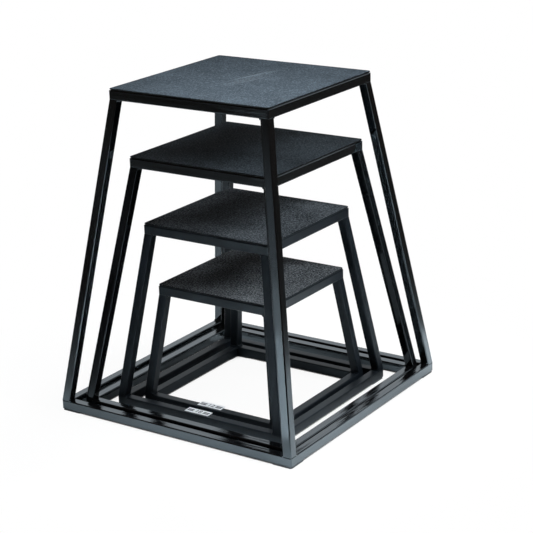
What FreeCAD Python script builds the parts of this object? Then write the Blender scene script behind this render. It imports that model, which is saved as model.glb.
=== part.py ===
import FreeCAD, Part
import os

from FreeCAD import Vector

# Four open steel jump boxes that nest over one another. Millimetres, +Z up, origin on the floor
# under the middle of the largest box. -Y is the front of the set.

# Square steel tube, the same for every rail and leg
tube_side = 22.0
tube_wall = 2.0
tube_corner = 2.5

# Mitred corners of the square frames, ground round after welding
frame_corner = 3.0

# Rubber feet, an angle under each corner of the base frame
foot_thickness = 3.0
foot_length = 52.0
foot_inset = 0.5
foot_corner = 6.0

# Deck: a steel plate on the top rails, and a grit-faced rubber mat on the plate
plate_thickness = 1.5
plate_inset = 3.0
mat_thickness = 3.0
mat_inset = 0.5
mat_corner = 5.0

# Smallest box
base_12 = 379.0
deck_12 = 314.0
height_12 = 295.0

# Each larger box clears the base tubes of the one inside it by base_gap on every side, has a deck
# that stands deck_step further out on every side, and stands rise higher
base_gap_18 = 18.5
deck_step_18 = 15.0
rise_18 = 150.0

base_gap_24 = 35.5
deck_step_24 = 21.0
rise_24 = 159.0

base_gap_30 = 12.0
deck_step_30 = 21.0
rise_30 = 158.0

# Where the inner box stands in that gap: 0 is centred, 1 is against the right or back tube
rest_x_18 = 0.30
rest_y_18 = 0.11
rest_x_24 = -0.06
rest_y_24 = -0.15
rest_x_30 = 0.75
rest_y_30 = 0.10

# Sizes that follow from the ones above
base_18 = base_12 + 2 * (tube_side + base_gap_18)
base_24 = base_18 + 2 * (tube_side + base_gap_24)
base_30 = base_24 + 2 * (tube_side + base_gap_30)
deck_18 = deck_12 + 2 * deck_step_18
deck_24 = deck_18 + 2 * deck_step_24
deck_30 = deck_24 + 2 * deck_step_30
height_18 = height_12 + rise_18
height_24 = height_18 + rise_24
height_30 = height_24 + rise_30

centre_30 = Vector(0, 0, 0)
centre_24 = centre_30 + Vector(rest_x_30, rest_y_30, 0) * base_gap_30
centre_18 = centre_24 + Vector(rest_x_24, rest_y_24, 0) * base_gap_24
centre_12 = centre_18 + Vector(rest_x_18, rest_y_18, 0) * base_gap_18

up = Vector(0, 0, 1)
base_top = foot_thickness + tube_side
side_turns = {"front": 0, "right": 90, "back": 180, "left": 270}
corner_signs = {"front_left": (-1, -1), "front_right": (1, -1), "back_left": (-1, 1), "back_right": (1, 1)}


def rounded_face(length, width, corner):
    """Rectangle in the XY plane about the origin, with round corners."""
    half_x = length / 2
    half_y = width / 2
    slant = corner * (1 - 0.5 ** 0.5)
    edges = []
    for turn in range(4):
        # one straight side and the corner at its end, turned to each side of the rectangle
        run, out = (half_x, half_y) if turn % 2 == 0 else (half_y, half_x)
        start = Vector(-run + corner, -out, 0)
        end = Vector(run - corner, -out, 0)
        middle = Vector(run - slant, -out + slant, 0)
        finish = Vector(run, -out + corner, 0)
        side = [Part.makeLine(start, end), Part.Arc(end, middle, finish).toShape()]
        for edge in side:
            edge.rotate(Vector(0, 0, 0), up, 90 * turn)
        edges += side
    return Part.Face(Part.Wire(edges))


def tube_face():
    """Cross-section of the tube in the XY plane, hollow."""
    bore = tube_side - 2 * tube_wall
    outside = rounded_face(tube_side, tube_side, tube_corner)
    return outside.cut(rounded_face(bore, bore, tube_corner - tube_wall)).Faces[0]


def rail(width, bottom, turn):
    """One side of a square frame of that width, mitred at both ends."""
    half = width / 2
    section = tube_face()
    section.rotate(Vector(0, 0, 0), Vector(0, 1, 0), 90)
    section.translate(Vector(-half, -half + tube_side / 2, bottom + tube_side / 2))
    tube = section.extrude(Vector(width, 0, 0))
    inner = half - tube_side
    outline = [Vector(-half, -half, bottom), Vector(half, -half, bottom),
               Vector(inner, -inner, bottom), Vector(-inner, -inner, bottom)]
    mitre = Part.Face(Part.makePolygon(outline + outline[:1])).extrude(up * tube_side)
    shape = tube.common(mitre).common(sheet(width, frame_corner, bottom, tube_side))
    shape.rotate(Vector(0, 0, 0), up, turn)
    return shape


def leg(base, deck, top, sign_x, sign_y):
    """Splayed leg from the base frame up to the deck frame, flush with both on its outer faces."""
    low = (base - tube_side) / 2
    high = (deck - tube_side) / 2
    foot = Vector(sign_x * low, sign_y * low, base_top)
    head = Vector(sign_x * high, sign_y * high, top)
    section = tube_face()
    section.translate(foot)
    return section.extrude(head - foot)


def feet(base):
    """Four rubber angles, each under the ends of the two base rails that meet at a corner."""
    width = tube_side - 2 * foot_inset
    along = base / 2 - foot_inset - foot_length / 2
    across = base / 2 - tube_side / 2
    pads = []
    for sign_x, sign_y in corner_signs.values():
        arm_x = rounded_face(foot_length, width, foot_corner).extrude(up * foot_thickness)
        arm_x.translate(Vector(sign_x * along, sign_y * across, 0))
        arm_y = rounded_face(width, foot_length, foot_corner).extrude(up * foot_thickness)
        arm_y.translate(Vector(sign_x * across, sign_y * along, 0))
        pads.append(arm_x.fuse(arm_y).removeSplitter())
    return Part.makeCompound(pads)


def sheet(side, corner, bottom, thickness):
    """Flat square sheet with round corners."""
    shape = rounded_face(side, side, corner).extrude(up * thickness)
    shape.translate(up * bottom)
    return shape


def jump_box(base, deck, height):
    """Every piece of one box by name, about its own middle."""
    plate_bottom = height - mat_thickness - plate_thickness
    deck_bottom = plate_bottom - tube_side
    pieces = {"feet": feet(base)}
    for side, turn in side_turns.items():
        pieces["base_" + side + "_rail"] = rail(base, foot_thickness, turn)
        pieces["deck_" + side + "_rail"] = rail(deck, deck_bottom, turn)
    for corner, signs in corner_signs.items():
        pieces["leg_" + corner] = leg(base, deck, deck_bottom, *signs)
    pieces["deck_plate"] = sheet(deck - 2 * plate_inset, mat_corner, plate_bottom, plate_thickness)
    pieces["deck_mat"] = sheet(deck - 2 * mat_inset, mat_corner, height - mat_thickness, mat_thickness)
    return pieces


jump_boxes = {
    "box_30": (base_30, deck_30, height_30, centre_30),
    "box_24": (base_24, deck_24, height_24, centre_24),
    "box_18": (base_18, deck_18, height_18, centre_18),
    "box_12": (base_12, deck_12, height_12, centre_12),
}

os.makedirs("parts", exist_ok=True)
for box_name, (base, deck, height, centre) in jump_boxes.items():
    for piece_name, shape in jump_box(base, deck, height).items():
        shape.translate(centre)
        shape.exportStep("parts/" + box_name + "_" + piece_name + ".step")
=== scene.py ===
import math
import random

import bmesh
import bpy
from mathutils import Matrix, Vector


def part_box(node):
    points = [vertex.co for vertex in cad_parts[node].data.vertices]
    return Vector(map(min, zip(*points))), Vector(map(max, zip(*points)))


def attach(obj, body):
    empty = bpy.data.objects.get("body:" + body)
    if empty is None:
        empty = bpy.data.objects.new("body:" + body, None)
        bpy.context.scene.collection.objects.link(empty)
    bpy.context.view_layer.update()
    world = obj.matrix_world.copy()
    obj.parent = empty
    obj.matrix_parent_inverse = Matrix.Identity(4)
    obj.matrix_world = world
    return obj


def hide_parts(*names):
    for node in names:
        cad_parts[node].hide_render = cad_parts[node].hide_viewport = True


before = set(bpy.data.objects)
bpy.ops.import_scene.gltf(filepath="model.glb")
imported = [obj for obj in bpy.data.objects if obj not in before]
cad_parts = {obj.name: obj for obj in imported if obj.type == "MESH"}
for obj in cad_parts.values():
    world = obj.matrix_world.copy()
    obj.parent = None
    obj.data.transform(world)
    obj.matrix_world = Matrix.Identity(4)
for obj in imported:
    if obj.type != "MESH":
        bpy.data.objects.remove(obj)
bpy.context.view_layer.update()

boxNames = ("box_30", "box_24", "box_18", "box_12")
sideNames = ("front", "back", "left", "right")

scene = bpy.context.scene
scene.view_settings.view_transform = "Standard"


class Wire:  # one output socket, so that shader maths reads as plain expressions
    def __init__(self, tree, socket=None):
        self.tree = tree
        self.socket = socket

    def add(self, kind, settings, sockets, output=0):  # any other node: settings first, then its sockets
        node = self.tree.nodes.new(kind)
        for name, value in settings.items():
            setattr(node, name, value)
        for name, value in sockets.items():
            if isinstance(value, Wire):
                self.tree.links.new(value.socket, node.inputs[name])
            else:
                node.inputs[name].default_value = value
        return Wire(self.tree, node.outputs[output] if node.outputs else None)

    def maths(self, operation, first, second):
        return self.add("ShaderNodeMath", {"operation": operation}, {0: first, 1: second})

    def __add__(self, other):
        return self.maths("ADD", self, other)

    def __radd__(self, other):
        return self.maths("ADD", other, self)

    def __sub__(self, other):
        return self.maths("SUBTRACT", self, other)

    def __rsub__(self, other):
        return self.maths("SUBTRACT", other, self)

    def __mul__(self, other):
        return self.maths("MULTIPLY", self, other)

    def __rmul__(self, other):
        return self.maths("MULTIPLY", other, self)

    def size(self):
        return self.maths("ABSOLUTE", self, 0.0)

    def atLeast(self, other):
        return self.maths("MAXIMUM", self, other)

    def ramp(self, low, high):  # 0 below low, 1 above high, eased between them
        sockets = {"Value": self, "From Min": low, "From Max": high}
        return self.add("ShaderNodeMapRange", {"interpolation_type": "SMOOTHSTEP"}, sockets)

    def tint(self, first, second):  # a colour that goes from first to second as this wire goes from 0 to 1
        colours = [value if isinstance(value, Wire) else (*value, 1.0) for value in (first, second)]
        sockets = {0: self, 6: colours[0], 7: colours[1]}  # the factor and the two colours of a Mix node
        return self.add("ShaderNodeMix", {"data_type": "RGBA"}, sockets, 2)

    def noise(self, place, size, detail=2.0, roughness=0.5):  # size is one swell of the noise in metres
        sockets = {"Vector": place, "Scale": 1 / size, "Detail": detail, "Roughness": roughness}
        return self.add("ShaderNodeTexNoise", {}, sockets)

    def grains(self, place, size):  # distance from the middle of a grain, size is one grain in metres
        return self.add("ShaderNodeTexVoronoi", {}, {"Vector": place, "Scale": 1 / size}, "Distance")

    def local(self, place, middle, turn, size):  # place from middle, axes turned about Z, in units of size
        sockets = {"Vector": place, "Location": middle, "Rotation": (0, 0, math.radians(turn)), "Scale": size}
        return self.add("ShaderNodeMapping", {"vector_type": "TEXTURE"}, sockets)

    def length(self):
        return self.add("ShaderNodeVectorMath", {"operation": "LENGTH"}, {0: self}, "Value")

    def along(self, way):  # how far this vector points that way
        return self.add("ShaderNodeVectorMath", {"operation": "DOT_PRODUCT"}, {0: self, 1: way}, "Value")

    def upward(self, normal, span):  # 0 on a wall and 1 on a face that looks up, eased over that span
        facing = self.add("ShaderNodeNewGeometry", {}, {}, normal)
        return self.add("ShaderNodeSeparateXYZ", {}, {"Vector": facing}, "Z").ramp(*span)

    def ray(self, name):
        return self.add("ShaderNodeLightPath", {}, {}, name)

    def seen(self):  # 1 for what the camera sees, straight or through glass
        return self.ray("Is Camera Ray").atLeast(self.ray("Is Transmission Ray"))

    def bump(self, height):  # height in metres
        return self.add("ShaderNodeBump", {}, {"Height": height, "Distance": 1.0, "Strength": 1.0}, "Normal")


def startMaterial(name):
    material = bpy.data.materials.new(name)
    material.use_nodes = True
    material.node_tree.nodes.clear()
    wire = Wire(material.node_tree)
    place = wire.add("ShaderNodeTexCoord", {}, {}, "Object")
    return material, wire, place


def endMaterial(wire, sockets):
    shader = wire.add("ShaderNodeBsdfPrincipled", {}, sockets)
    wire.add("ShaderNodeOutputMaterial", {}, {"Surface": shader})


def frameSpan(boxName, level):  # lowest and highest corner of a box's base or deck frame
    front, back, left, right = [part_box(f"{boxName}_{level}_{side}_rail") for side in sideNames]
    return Vector((left[0].x, front[0].y, front[0].z)), Vector((right[1].x, back[1].y, front[1].z))


def finishPiece(bm, name, body, material, smooth=True):
    mesh = bpy.data.meshes.new(name)
    bm.to_mesh(mesh)
    bm.free()
    piece = bpy.data.objects.new(name, mesh)
    scene.collection.objects.link(piece)
    mesh.materials.append(material)
    mesh.polygons.foreach_set("use_smooth", [smooth] * len(mesh.polygons))
    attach(piece, body)
    return piece


# Black powder coat on every tube: glossy on the two larger boxes, duller on the two smaller ones
powderCoat = {
    "finish": {"box_30": "glossy", "box_24": "glossy", "box_18": "dull", "box_12": "dull"},
    "black": {"glossy": (0.0020, 0.0020, 0.0022), "dull": (0.0048, 0.0066, 0.0088)},
    "cloudSize": 0.090,  # broad unevenness of the coat
    "thinPlaces": (0.3, 0.75),  # cloud levels at which the coat is full and thin
    "worn": 1.9,  # how much paler the thin places are
    "dust": (0.050, 0.053, 0.057),
    "dustShare": {"glossy": 0.02, "dull": 0.25},
    "dustSize": 0.012,
    "dustPatches": (0.45, 0.85),
    "dustRoughness": 0.35,
    "dustSlope": (0.6, 0.98),  # how far a face has to look up before dust lies on it
    "peelSize": 0.0024,  # orange peel
    "peelDepth": {"glossy": 0.000008, "dull": 0.000025},
    "pitSize": 0.0060,  # spacing of the pinholes
    "pitEdge": (0.04, 0.12),
    "pitDepth": 0.00002,
    "drawSize": 0.0075,  # width of the faint lines along each tube
    "drawLength": 30,  # how much longer than wide they are
    "drawDepth": {"glossy": 0.00065, "dull": 0.00005},
    "legDraw": 0.00001,
    "roughness": {"glossy": 0.07, "dull": 0.42},
    "roughnessSwing": 0.05,
    "shine": {"glossy": 2.0, "dull": 1.46},  # index of refraction
    "legShine": {"box_30": 1.9, "box_24": 1.4, "box_18": 1.38, "box_12": 1.38},
    "shineTint": (0.74, 0.90, 1.0),
    "brightLeg": "box_24_leg_front_right",  # the one leg with the coat of the largest box's legs
}


def alongTube(wire, place, boxName, run):  # the place with a tube's length squeezed, so noise becomes lines
    long = powderCoat["drawLength"]
    if run != "leg":
        return wire.local(place, (0, 0, 0), 0, (long, 1, 1) if run == "x" else (1, long, 1))
    baseLow, baseHigh = frameSpan(boxName, "base")
    deckLow, deckHigh = frameSpan(boxName, "deck")
    middle = (baseLow + baseHigh) / 2
    lean = (baseHigh.x - deckHigh.x) / (deckLow.z - baseHigh.z)
    x, y, z = [wire.add("ShaderNodeSeparateXYZ", {}, {"Vector": place}, axis) for axis in "XYZ"]
    upright = {
        "X": (x - middle.x).size() + z * lean,
        "Y": (y - middle.y).size() + z * lean,
        "Z": z * (1 / long),
    }
    return wire.add("ShaderNodeCombineXYZ", {}, upright)


def makePowderCoat(boxName, run):
    coat = powderCoat
    finish = coat["finish"][boxName]
    material, wire, place = startMaterial(f"{boxName}_powder_coat_{run}")
    lines = wire.noise(alongTube(wire, place, boxName, run), coat["drawSize"], detail=3.0, roughness=0.6)
    clouds = wire.noise(place, coat["cloudSize"], detail=4.0, roughness=0.6)
    peel = wire.noise(place, coat["peelSize"])
    pits = 1 - wire.grains(place, coat["pitSize"]).ramp(*coat["pitEdge"])
    patches = wire.noise(place, coat["dustSize"], detail=5.0, roughness=0.7).ramp(*coat["dustPatches"])
    dust = wire.upward("Normal", coat["dustSlope"]) * patches * coat["dustShare"][finish]
    black = coat["black"][finish]
    worn = [value * coat["worn"] for value in black]
    roughness = coat["roughness"][finish] + (clouds - 0.5) * coat["roughnessSwing"]
    depth = coat["legDraw"] if run == "leg" else coat["drawDepth"][finish]
    height = peel * coat["peelDepth"][finish] + lines * depth - pits * coat["pitDepth"]
    endMaterial(wire, {
        "Base Color": dust.tint(clouds.ramp(*coat["thinPlaces"]).tint(black, worn), coat["dust"]),
        "Roughness": roughness + dust * coat["dustRoughness"],
        "IOR": coat["legShine"][boxName] if run == "leg" else coat["shine"][finish],
        "Specular Tint": (*coat["shineTint"], 1.0),
        "Normal": wire.bump(height),
    })
    return material


# Coat of the deck plates: thinner and more matt
deckPlate = {
    "colour": (0.014, 0.0145, 0.016),
    "thin": (0.028, 0.029, 0.031),
    "cloudSize": 0.06,
    "thinPlaces": (0.35, 0.8),
    "grainSize": 0.0016,
    "grainDepth": 0.00003,
    "roughness": 0.42,
    "roughnessSwing": 0.2,
}


def makePlateCoat():
    material, wire, place = startMaterial("plate_coat")
    clouds = wire.noise(place, deckPlate["cloudSize"], detail=4.0, roughness=0.6)
    grain = wire.noise(place, deckPlate["grainSize"], detail=3.0)
    endMaterial(wire, {
        "Base Color": clouds.ramp(*deckPlate["thinPlaces"]).tint(deckPlate["colour"], deckPlate["thin"]),
        "Roughness": deckPlate["roughness"] + (clouds - 0.5) * deckPlate["roughnessSwing"],
        "Normal": wire.bump(grain * deckPlate["grainDepth"]),
    })
    return material


# Moulded rubber of the feet
footRubber = {
    # Paler and bluer than black rubber: partly the rubber's grey, partly painted sheen so that the feet read
    # like the glossy rail above them
    "colour": (0.060, 0.068, 0.075),
    "scuff": (0.11, 0.115, 0.12),
    "scuffSize": 0.004,
    "scuffEdge": (0.55, 0.8),
    "scuffShare": 0.6,
    "scuffRoughness": 0.15,
    "grainSize": 0.0008,
    "grainDepth": 0.00004,
    "roughness": 0.72,
}


def makeFootRubber():
    material, wire, place = startMaterial("foot_rubber")
    scuffs = wire.noise(place, footRubber["scuffSize"], detail=6.0, roughness=0.75)
    scuffs = scuffs.ramp(*footRubber["scuffEdge"])
    grain = wire.noise(place, footRubber["grainSize"], detail=3.0)
    endMaterial(wire, {
        "Base Color": (scuffs * footRubber["scuffShare"]).tint(footRubber["colour"], footRubber["scuff"]),
        "Roughness": footRubber["roughness"] + scuffs * footRubber["scuffRoughness"],
        "Normal": wire.bump(grain * footRubber["grainDepth"]),
    })
    return material


runs = {"front": "x", "back": "x", "left": "y", "right": "y"}  # the way that each rail runs
paints = {(boxName, run): makePowderCoat(boxName, run) for boxName in boxNames for run in ("x", "y", "leg")}
plateCoat = makePlateCoat()
rubber = makeFootRubber()
for nodeName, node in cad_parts.items():
    words = nodeName.split("_")
    boxName = "_".join(words[:2])
    material = paints[boxName, "leg"]
    if nodeName == powderCoat["brightLeg"]:
        material = paints["box_30", "leg"]
    elif words[-1] == "rail":  # as in box_30_base_front_rail
        material = paints[boxName, runs[words[3]]]
    elif words[-1] == "feet":
        material = rubber
    elif words[-1] == "plate":
        material = plateCoat
    node.data.materials.clear()
    node.data.materials.append(material)
print("frame painted:", len(paints), "coats")


# Grit-faced rubber mats: a sheet of small raised granules with a rounded edge
gritMat = {
    "cell": 0.0021,  # spacing of the granules
    "jitter": 0.3,  # how far they lie off the grid, in cells
    "grit": 0.00035,  # how far they stand up or sink
    "seed": 24,
    "corner": 0.005,
    "edge": 0.0007,  # rounding along the upper edge
    "edgeSteps": ((0.55, 0.15), (0.9, 0.45), (1.0, 1.0)),  # out and down, as shares of the rounding
    # Dark and pale ends of the flecks for each box. box_24's lower and box_18's and box_12's higher levels
    # are painted shade and painted light, standing in for how much light reaches each lower deck under the
    # one above.
    "dark": {"box_30": (0.033, 0.042, 0.051), "box_24": (0.013, 0.016, 0.019),
             "box_18": (0.012, 0.014, 0.017), "box_12": (0.010, 0.011, 0.013)},
    "pale": {"box_30": (0.105, 0.132, 0.160), "box_24": (0.082, 0.099, 0.114),
             "box_18": (0.175, 0.195, 0.215), "box_12": (0.270, 0.290, 0.310)},
    "side": {"box_30": (0.006, 0.0065, 0.007), "box_24": (0.006, 0.0065, 0.007),
             "box_18": (0.020, 0.023, 0.026), "box_12": (0.022, 0.025, 0.028)},  # darker colour of the faces that don't look up, round the sheet's edge
    "topSlope": (0.3, 0.6),  # how far a face has to look up to have the grit's colour
    "fleckSize": {"box_30": 0.0038, "box_24": 0.0040, "box_18": 0.0042, "box_12": 0.0044},
    "fleckEdge": (0.47, 0.60),
    "fleckShare": 0.78,
    "cloudSize": 0.07,
    "cloudEdge": (0.3, 0.75),
    "cloudShare": 0.22,
    "granuleSize": 0.0034,
    "granuleEdge": (0.0, 0.7),
    "relief": 0.0003,  # height of flecks and granules in the material
    "roughness": 0.85,
    "polish": 0.2,  # how much smoother the tops of the flecks are
    "polishEdge": (0.5, 0.8),
    "gloss": 0.2,
}

# Pale scuffs on the largest mat, in parallel strokes across its middle
matScuffs = {
    "colour": (0.22, 0.25, 0.28),
    "middle": (0.0135, 0.033, 0.76),
    "turn": -10,
    "size": (0.030, 0.12, 1.0),
    "fade": (0.5, 1.0),
    "strokeWidth": 0.007,
    "strokeLength": 40,  # in widths
    "strokeEdge": (0.50, 0.68),
    "share": 0.55,
}


def addScuffs(wire, place, colour):
    scuff = matScuffs
    away = wire.local(place, scuff["middle"], scuff["turn"], scuff["size"]).length()
    combed = wire.local(place, (0, 0, 0), scuff["turn"], (1, scuff["strokeLength"], 1))
    strokes = wire.noise(combed, scuff["strokeWidth"], detail=1.0).ramp(*scuff["strokeEdge"])
    return (strokes * (1 - away.ramp(*scuff["fade"])) * scuff["share"]).tint(colour, scuff["colour"])


def makeGritCoat(boxName):
    material, wire, place = startMaterial(boxName + "_grit")
    granules = wire.grains(place, gritMat["granuleSize"])
    flecks = wire.noise(place, gritMat["fleckSize"][boxName], detail=4.0, roughness=0.75)
    clouds = wire.noise(place, gritMat["cloudSize"], detail=4.0, roughness=0.6)
    shade = flecks.ramp(*gritMat["fleckEdge"]) * gritMat["fleckShare"]
    shade = shade + clouds.ramp(*gritMat["cloudEdge"]) * gritMat["cloudShare"]
    # Painted shade and painted light: each box's mat has its own levels for the light under the deck above
    colour = shade.tint(gritMat["dark"][boxName], gritMat["pale"][boxName])
    if boxName == "box_30":
        colour = addScuffs(wire, place, colour)
    top = wire.upward("True Normal", gritMat["topSlope"])
    height = flecks + (1 - granules.ramp(*gritMat["granuleEdge"]))
    endMaterial(wire, {
        "Base Color": top.tint(gritMat["side"][boxName], colour),
        "Roughness": gritMat["roughness"] - flecks.ramp(*gritMat["polishEdge"]) * gritMat["polish"],
        "Specular IOR Level": gritMat["gloss"],
        "Normal": wire.bump(height * gritMat["relief"]),
    })
    return material


def growRim(bm, rim, reach, height):  # the next ring of a mat's edge, scaled out to reach and set at height
    grown = bmesh.ops.extrude_edge_only(bm, edges=rim)["geom"]
    verts = [item for item in grown if isinstance(item, bmesh.types.BMVert)]
    widest = max(vert.co.x for vert in verts)
    bmesh.ops.scale(bm, verts=verts, vec=(reach / widest, reach / widest, 1))
    for vert in verts:
        vert.co.z = height
    return [item for item in grown if isinstance(item, bmesh.types.BMEdge)]


def makeMat(boxName):
    low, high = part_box(boxName + "_deck_mat")
    middle = (low + high) / 2
    half = (high.x - low.x) / 2 - gritMat["edge"]
    cells = round(2 * half / gritMat["cell"])
    crown = high.z - gritMat["grit"]
    jitter = gritMat["jitter"]
    draw = random.Random(gritMat["seed"] + cells)
    bm = bmesh.new()
    bmesh.ops.create_grid(bm, x_segments=cells, y_segments=cells, size=half)
    corner = half - gritMat["corner"]
    rim = [edge for edge in bm.edges if edge.is_boundary]
    rimVerts = {vert for edge in rim for vert in edge.verts}
    for vert in bm.verts:
        past = Vector((max(abs(vert.co.x) - corner, 0), max(abs(vert.co.y) - corner, 0)))
        if past.length > gritMat["corner"]:  # pull the corner in to its round
            past *= gritMat["corner"] / past.length
            vert.co.x = math.copysign(corner + past.x, vert.co.x)
            vert.co.y = math.copysign(corner + past.y, vert.co.y)
        if vert not in rimVerts:  # each granule stands a little off the grid
            vert.co.x += draw.uniform(-jitter, jitter) * gritMat["cell"]
            vert.co.y += draw.uniform(-jitter, jitter) * gritMat["cell"]
            vert.co.z = draw.uniform(-1, 1) * gritMat["grit"]
    for outward, drop in gritMat["edgeSteps"]:
        rim = growRim(bm, rim, half + outward * gritMat["edge"], -drop * gritMat["edge"])
    rim = growRim(bm, rim, half + gritMat["edge"], low.z - crown)
    bmesh.ops.contextual_create(bm, geom=rim)
    bmesh.ops.translate(bm, verts=bm.verts, vec=(middle.x, middle.y, crown))
    bmesh.ops.recalc_face_normals(bm, faces=bm.faces)
    piece = finishPiece(bm, boxName + "_grit_mat", boxName, makeGritCoat(boxName))
    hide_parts(boxName + "_deck_mat")


for boxName in boxNames:
    makeMat(boxName)
print("mats laid:", len(boxNames))


# Weld beads round both ends of every leg, painted over with the frame
weldBead = {
    "fillet": 0.0036,  # radius of the beads in the inner corners
    "groove": 0.0013,  # radius of the beads in the outer grooves
    "grooveShort": 0.003,  # how much shorter than the tube's side a groove bead is
    "sunk": 0.0005,  # how far a groove bead lies behind the tube's face
    "ripples": 9,
    "swell": 0.16,
    "end": 0.5,  # radius at both ends, as a share
    "sides": 6,
}
cornerSigns = ((-1, -1), (1, -1), (-1, 1), (1, 1))


def makeBead(length, radius):  # one bead along X about the origin
    bm = bmesh.new()
    step = length / weldBead["ripples"]
    size = weldBead["end"]
    start = Matrix.Translation((-length / 2, 0, 0)) @ Matrix.Rotation(math.radians(90), 4, "Y")
    bmesh.ops.create_circle(bm, cap_ends=True, segments=weldBead["sides"], radius=radius * size, matrix=start)
    rim = list(bm.edges)
    for ripple in range(weldBead["ripples"]):
        grown = bmesh.ops.extrude_edge_only(bm, edges=rim)["geom"]
        verts = [item for item in grown if isinstance(item, bmesh.types.BMVert)]
        rim = [item for item in grown if isinstance(item, bmesh.types.BMEdge)]
        nextSize = 1 + weldBead["swell"] * (-1) ** ripple
        if ripple == weldBead["ripples"] - 1:
            nextSize = weldBead["end"]
        bmesh.ops.translate(bm, verts=verts, vec=(step, 0, 0))
        bmesh.ops.scale(bm, verts=verts, vec=(1, nextSize / size, nextSize / size))
        size = nextSize
    bmesh.ops.contextual_create(bm, geom=rim)
    bmesh.ops.recalc_face_normals(bm, faces=bm.faces)
    mesh = bpy.data.meshes.new("bead")
    bm.to_mesh(mesh)
    bm.free()
    return mesh


def addCopy(bm, mesh, place):
    before = len(bm.verts)
    bm.from_mesh(mesh)
    bm.verts.ensure_lookup_table()
    bmesh.ops.transform(bm, matrix=place, verts=bm.verts[before:])


def makeWelds(boxName):
    baseLow, baseHigh = frameSpan(boxName, "base")
    deckLow, deckHigh = frameSpan(boxName, "deck")
    tube = baseHigh.z - baseLow.z
    fillet = makeBead(tube, weldBead["fillet"])
    groove = makeBead(tube - weldBead["grooveShort"], weldBead["groove"])
    bm = bmesh.new()
    for low, high, joint in ((baseLow, baseHigh, baseHigh.z), (deckLow, deckHigh, deckLow.z)):
        half = (high.x - low.x) / 2
        middle = Vector((low.x + half, low.y + half, joint))
        for signX, signY in cornerSigns:
            foot = middle + Vector((signX, signY, 0)) * (half - tube / 2)
            for sign, across, turn in ((signX, Vector((1, 0, 0)), 90), (signY, Vector((0, 1, 0)), 0)):
                spin = Matrix.Rotation(math.radians(turn), 4, "Z")
                inner = foot - across * sign * tube / 2
                outer = foot + across * sign * (tube / 2 - weldBead["sunk"] - weldBead["groove"])
                addCopy(bm, fillet, Matrix.Translation(inner) @ spin)
                addCopy(bm, groove, Matrix.Translation(outer) @ spin)
    bpy.data.meshes.remove(fillet)
    bpy.data.meshes.remove(groove)
    finishPiece(bm, boxName + "_welds", boxName, paints[boxName, "leg"])


for boxName in boxNames:
    makeWelds(boxName)
print("welds laid:", len(boxNames))


# Plain white labels on the front base rails of the two smaller boxes: the height in inches between bars
label = {
    "size": (0.066, 0.022),
    "thickness": 0.0004,
    "corner": 0.0012,
    "cornerSteps": 4,
    "forward": 0.004,  # front edge, from the middle of the rail
    "aside": -0.007,  # middle, from the middle of the rail
    "paper": (0.86, 0.87, 0.89),
    "stain": (0.76, 0.77, 0.79),
    "stainSize": 0.02,
    "stainEdge": (0.4, 0.8),
    "fibreSize": 0.0012,
    "fibreDepth": 0.00002,
    "paperRoughness": (0.35, 0.2),  # least, and how much the fibres add
    "number": {"box_18": "18", "box_12": "12"},
    "numberHeight": 0.013,
    "figureShare": 0.7,  # height of a figure as a share of the type size
    "merge": 0.000001,  # corners of the type closer than this are one
    "bar": (0.016, 0.0034),
    "barPlace": (0.0215, 0.0028),  # from the middle, to either side and up or down
    "inkThickness": 0.00012,  # above and below the paper's face
    "ink": (0.03, 0.03, 0.035),
    "wornInk": (0.16, 0.16, 0.17),
    "wearSize": 0.0015,
    "wearEdge": (0.55, 0.85),
    "inkRoughness": (0.5, 0.2),  # least, and how much the wear adds
}


def makeLabelPaper():
    material, wire, place = startMaterial("label_paper")
    fibre = wire.noise(place, label["fibreSize"], detail=4.0, roughness=0.7)
    stain = wire.noise(place, label["stainSize"], detail=3.0).ramp(*label["stainEdge"])
    least, more = label["paperRoughness"]
    endMaterial(wire, {
        "Base Color": stain.tint(label["paper"], label["stain"]),
        "Roughness": least + fibre * more,
        "Normal": wire.bump(fibre * label["fibreDepth"]),
    })
    return material


def makeInk():
    material, wire, place = startMaterial("label_ink")
    wear = wire.noise(place, label["wearSize"], detail=5.0, roughness=0.7).ramp(*label["wearEdge"])
    least, more = label["inkRoughness"]
    endMaterial(wire, {
        "Base Color": wear.tint(label["ink"], label["wornInk"]),
        "Roughness": least + wear * more,
    })
    return material


def makeLabelSheet(boxName, paper):  # returns the middle of its upper face
    low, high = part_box(boxName + "_base_front_rail")
    tube = high.z - low.z
    front = low.y + tube / 2 - label["forward"]
    middle = Vector(((low.x + high.x) / 2 + label["aside"], front + label["size"][1] / 2, high.z))
    bm = bmesh.new()
    bmesh.ops.create_grid(bm, x_segments=1, y_segments=1, size=0.5)
    bmesh.ops.scale(bm, verts=bm.verts, vec=(*label["size"], 1))
    bmesh.ops.bevel(bm, geom=bm.verts[:], offset=label["corner"], affect="VERTICES",
                    segments=label["cornerSteps"], profile=0.5, material=-1)
    grown = bmesh.ops.extrude_face_region(bm, geom=bm.faces[:])["geom"]
    top = [item for item in grown if isinstance(item, bmesh.types.BMVert)]
    bmesh.ops.translate(bm, verts=top, vec=(0, 0, label["thickness"]))
    bmesh.ops.translate(bm, verts=bm.verts, vec=middle)
    bmesh.ops.recalc_face_normals(bm, faces=bm.faces)
    finishPiece(bm, boxName + "_label", boxName, paper, smooth=False)
    return middle + Vector((0, 0, label["thickness"]))


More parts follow.
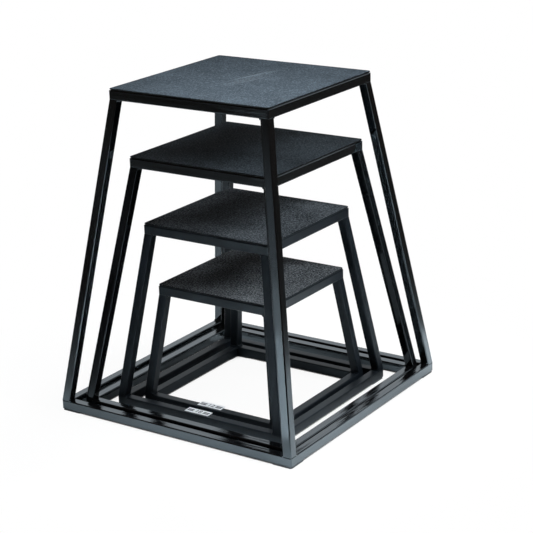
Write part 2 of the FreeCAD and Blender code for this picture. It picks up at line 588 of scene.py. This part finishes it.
def makeLabelNumber(boxName, ink, surface):
    text = bpy.data.curves.new(boxName + "_number", "FONT")
    text.body = label["number"][boxName]
    text.size = label["numberHeight"] / label["figureShare"]
    text.align_x = "CENTER"
    text.align_y = "CENTER"
    text.extrude = label["inkThickness"]
    typed = bpy.data.objects.new("typed", text)
    mesh = bpy.data.meshes.new_from_object(typed)
    bpy.data.objects.remove(typed)
    bm = bmesh.new()
    bm.from_mesh(mesh)
    bpy.data.meshes.remove(mesh)
    bmesh.ops.remove_doubles(bm, verts=bm.verts, dist=label["merge"])
    aside, above = label["barPlace"]
    barSize = Matrix.Diagonal((*label["bar"], 2 * label["inkThickness"], 1))
    for side in (-1, 1):  # two bars either side of the number
        for row in (-1, 1):
            place = Matrix.Translation((side * aside, row * above, 0)) @ barSize
            bmesh.ops.create_cube(bm, size=1, matrix=place)
    bmesh.ops.translate(bm, verts=bm.verts, vec=surface)
    bmesh.ops.recalc_face_normals(bm, faces=bm.faces)
    finishPiece(bm, boxName + "_number", boxName, ink, smooth=False)


paper = makeLabelPaper()
ink = makeInk()
for boxName in label["number"]:
    makeLabelNumber(boxName, ink, makeLabelSheet(boxName, paper))
print("labels laid:", len(label["number"]))


# A round pale floor that is white to the camera, keeps a soft shadow, and has painted shade in the gaps
# between rails
paleFloor = {
    "radius": 6.5,
    "sides": 96,
    "colour": (0.82, 0.82, 0.82),
    "swell": (0.80, 0.80, 0.80),  # its other shade, in broad swells
    "swellSize": 0.4,
    "shadow": 0.06,  # share of the floor's own light that the camera sees beside the boxes
    "shadowReach": (0.40, 0.80),
    "gap": 0.05,  # between rails closer than this the camera sees the floor's own shade, and its colour darkens to a painted shade
    "gapSamples": 8,
    "openEdge": (0.18, 0.45),
    "paintedGapShade": (0.08, 0.08, 0.08),
}


def makeFloor():
    material, wire, place = startMaterial("floor")
    away = place.length().ramp(*paleFloor["shadowReach"])
    sampling = {"samples": paleFloor["gapSamples"]}
    bare = wire.add("ShaderNodeAmbientOcclusion", sampling, {"Distance": paleFloor["gap"]}, "AO")
    bare = bare.ramp(*paleFloor["openEdge"])  # 1 away from the rails, 0 in the gaps between them
    white = wire.seen() * (1 - paleFloor["shadow"] * (1 - away)) * bare
    shade = wire.noise(place, paleFloor["swellSize"], detail=3.0)
    shade = shade.tint(paleFloor["colour"], paleFloor["swell"])
    # Painted shade: in the gaps between rails the floor's colour goes to near black
    pale = wire.add("ShaderNodeBsdfDiffuse", {}, {"Color": bare.tint(paleFloor["paintedGapShade"], shade)})
    glow = wire.add("ShaderNodeEmission", {}, {"Color": (1, 1, 1, 1), "Strength": 1.0})
    shader = wire.add("ShaderNodeMixShader", {}, {0: white, 1: pale, 2: glow})
    wire.add("ShaderNodeOutputMaterial", {}, {"Surface": shader})
    bm = bmesh.new()
    bmesh.ops.create_circle(bm, cap_ends=True, segments=paleFloor["sides"], radius=paleFloor["radius"])
    mesh = bpy.data.meshes.new("floor")
    bm.to_mesh(mesh)
    bm.free()
    mesh.materials.append(material)
    floor = bpy.data.objects.new("floor", mesh)
    scene.collection.objects.link(floor)


# The room: white to the camera, dim as a light, and a backdrop in what the gloss mirrors
room = {
    "ambient": (0.044, 0.037, 0.031),
    "dark": (0.040, 0.031, 0.025),  # what gloss shows beside the backdrop
    "backdrop": (0.84, 0.87, 0.90),
    "rise": (0.06, 0.30),  # sine of the elevation at which the backdrop starts and is full
    "top": (0.52, 0.66),  # and at which it ends
    "behind": (-0.56, 0.83, 0.0),  # the way from the middle to the backdrop
    "width": (-0.15, 0.45),  # cosine off that way at which the backdrop starts and is full
    "ahead": (-0.53, -0.848, 0.0),  # the way to the pale end of the floor that the near leg mirrors
    "aheadWidth": (0.9915, 0.998),
    "aheadFade": (-0.07, 0.03),
    "aheadColour": (0.38, 0.40, 0.42),
}


def makeWorld():
    world = bpy.data.worlds.new("studio")
    world.use_nodes = True
    world.node_tree.nodes.clear()
    scene.world = world
    wire = Wire(world.node_tree)
    direction = wire.add("ShaderNodeTexCoord", {}, {}, "Generated")
    height = wire.add("ShaderNodeSeparateXYZ", {}, {"Vector": direction}, "Z")
    screen = height.ramp(*room["rise"]) * (1 - height.ramp(*room["top"]))
    screen = screen * direction.along(room["behind"]).ramp(*room["width"])
    ahead = direction.along(room["ahead"]).ramp(*room["aheadWidth"]) * (1 - height.ramp(*room["aheadFade"]))
    mirrored = ahead.tint(screen.tint(room["dark"], room["backdrop"]), room["aheadColour"])
    dim = wire.ray("Is Glossy Ray").tint(room["ambient"], mirrored)
    colour = wire.seen().tint(dim, (1, 1, 1))
    shader = wire.add("ShaderNodeBackground", {}, {"Color": colour, "Strength": 1.0})
    wire.add("ShaderNodeOutputWorld", {}, {"Surface": shader})


# Softboxes with a narrow spread, so that only the floor near the set is bright. They look straight down
# unless an aim is given.
frontTurn = 58  # the front softboxes lie along the way that the near leg mirrors
lampTint = (0.90, 0.96, 1.0)
lamps = {
    "overhead": {"place": (0.12, -0.2, 3.2), "size": (0.6, 0.6), "spread": 18, "power": 1.3},
    "front": {"place": (-0.40, -1.56, 1.0), "turn": frontTurn,
              "size": (2.06, 0.45), "spread": 12, "power": 7.6},
    "frontFar": {"place": (-1.60, -3.4, 1.0), "turn": frontTurn,
                 "size": (2.4, 0.34), "spread": 10, "power": 3.0},
    "frontEnd": {"place": (-2.8, -5.3, 1.0), "turn": frontTurn,
                 "size": (2.1, 0.9), "spread": 12, "power": 3.4},
    "nearFront": {"place": (0.05, -0.55, 1.2), "size": (1.2, 0.40), "spread": 14, "power": 0.45},
    "nearRight": {"place": (0.62, 0.08, 1.2), "size": (0.60, 1.26), "spread": 14, "power": 2.1},
    "nearBack": {"place": (0.0, 0.55, 1.2), "size": (1.3, 0.45), "spread": 14, "power": 2.6},
    "nearLeft": {"place": (-0.64, 0.1, 1.2), "size": (0.45, 1.2), "spread": 14, "power": 1.3},
    "rear": {"place": (-1.0, 1.1, 1.2), "size": (1.6, 1.6), "spread": 30, "power": 10},
    "corner": {"place": (1.0, -1.1, 1.2), "size": (1.2, 1.2), "spread": 24, "power": 10},
    "right": {"place": (2.2, 0.4, 2.15), "aim": (0.1, 0.0, 0.45), "mirrored": False,
              "size": (1.0, 1.2), "spread": 60, "power": 11},
    "fill": {"place": (-1.35, -1.55, 3.0), "aim": (0.0, 0.0, 0.4), "mirrored": False,
             "size": (1.8, 1.8), "spread": 50, "power": 3.8},
}


def makeLamp(name, settings):
    lamp = bpy.data.lights.new(name, "AREA")
    lamp.shape = "RECTANGLE"
    lamp.size, lamp.size_y = settings["size"]
    lamp.spread = math.radians(settings["spread"])
    lamp.energy = settings["power"]
    lamp.color = lampTint
    holder = bpy.data.objects.new(name, lamp)
    scene.collection.objects.link(holder)
    holder.visible_camera = False
    holder.visible_glossy = settings.get("mirrored", True)
    place = Vector(settings["place"])
    aim = Vector(settings.get("aim", (place.x, place.y, 0)))
    gaze = (aim - place).to_track_quat("-Z", "Y").to_matrix().to_4x4()
    turn = Matrix.Rotation(math.radians(settings.get("turn", 0)), 4, "Z")
    holder.matrix_world = Matrix.Translation(place) @ gaze @ turn


makeFloor()
makeWorld()
for name, settings in lamps.items():
    makeLamp(name, settings)
print("stage set:", len(lamps), "lamps")


# Camera at the photograph's angle
viewpoint = {
    "aim": (0.0482, 0.0078, 0.3201),
    "distance": 3.774,
    "azimuth": 34.157,
    "elevation": 18.418,
    "roll": -1.623,
    "lens": 108.98,
    "sensor": 36.0,
}


def makeCamera():
    azimuth, elevation, roll = [math.radians(viewpoint[name]) for name in ("azimuth", "elevation", "roll")]
    camera = bpy.data.cameras.new("camera")
    camera.lens = viewpoint["lens"]
    camera.sensor_width = viewpoint["sensor"]
    holder = bpy.data.objects.new("camera", camera)
    scene.collection.objects.link(holder)
    level = Matrix.Rotation(azimuth, 4, "Z") @ Matrix.Rotation(math.pi / 2 - elevation, 4, "X")
    back = level @ Vector((0, 0, 1))  # from the aim to the camera
    place = Vector(viewpoint["aim"]) + back * viewpoint["distance"]
    holder.matrix_world = Matrix.Translation(place) @ level @ Matrix.Rotation(roll, 4, "Z")
    scene.camera = holder
    return place


print("camera at", [round(value, 4) for value in makeCamera()])

bpy.context.view_layer.update()
